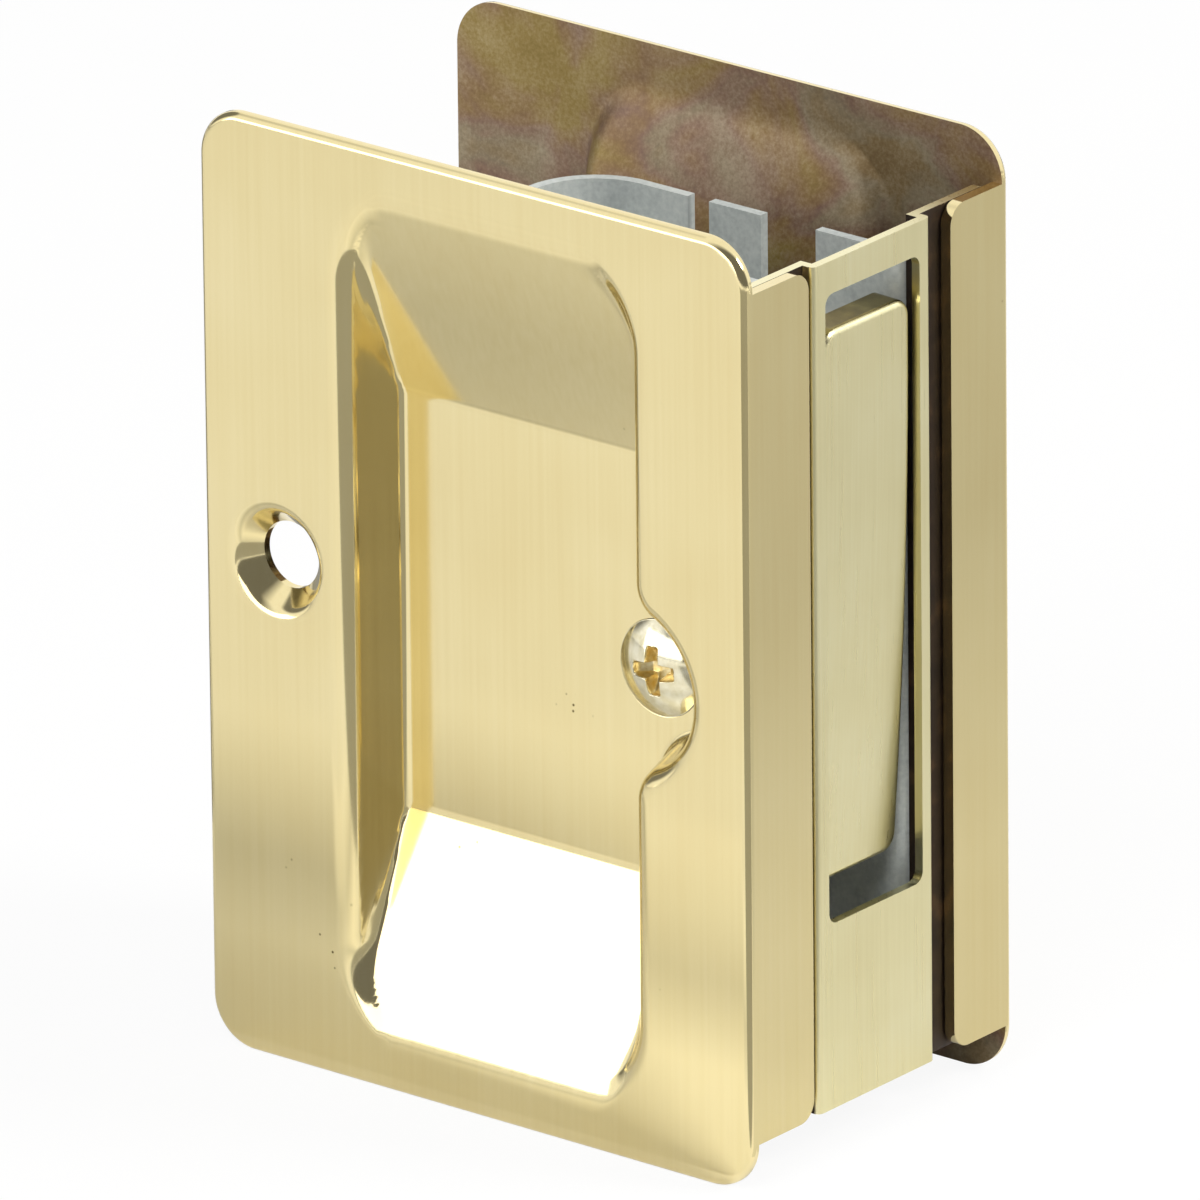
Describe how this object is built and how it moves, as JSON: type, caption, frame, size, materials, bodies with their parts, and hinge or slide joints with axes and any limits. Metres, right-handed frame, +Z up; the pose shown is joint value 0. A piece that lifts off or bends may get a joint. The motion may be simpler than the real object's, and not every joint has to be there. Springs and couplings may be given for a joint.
{
  "type": "pocket door pull",
  "caption": "Brass pull that clamps over the edge of a sliding pocket door, with a finger cup on each side plate and a rocking edge pull in the door edge.",
  "frame": {"origin": "on the standing surface, below the middle of the pull", "axes": "+Z up along the door edge, +X out of the door edge, the front plate faces -Y"},
  "size_m": [0.0572, 0.0348, 0.0825],
  "materials": {
    "polished_brass": "polished",
    "satin_brass": "satin",
    "zinc_plated_steel": "zinc plated",
    "bright_steel": "bright",
    "screw_brass": "polished"
  },
  "bodies": {
    "housing": {"front_plate": "polished_brass", "back_plate": "polished_brass", "edge_plate": "satin_brass", "chassis_strap": "zinc_plated_steel", "pivot_pin": "bright_steel", "clamp_screws": "screw_brass"},
    "edge_pull": {"edge_pull": "satin_brass"}
  },
  "joints": [
    {"name": "edge_pull_rock", "type": "hinge", "parent": "housing", "child": "edge_pull", "pos_m": [0.02102, -0.00075, 0.04764], "axis": [0, 1, 0], "range_deg": [-30, 30]}
  ]
}
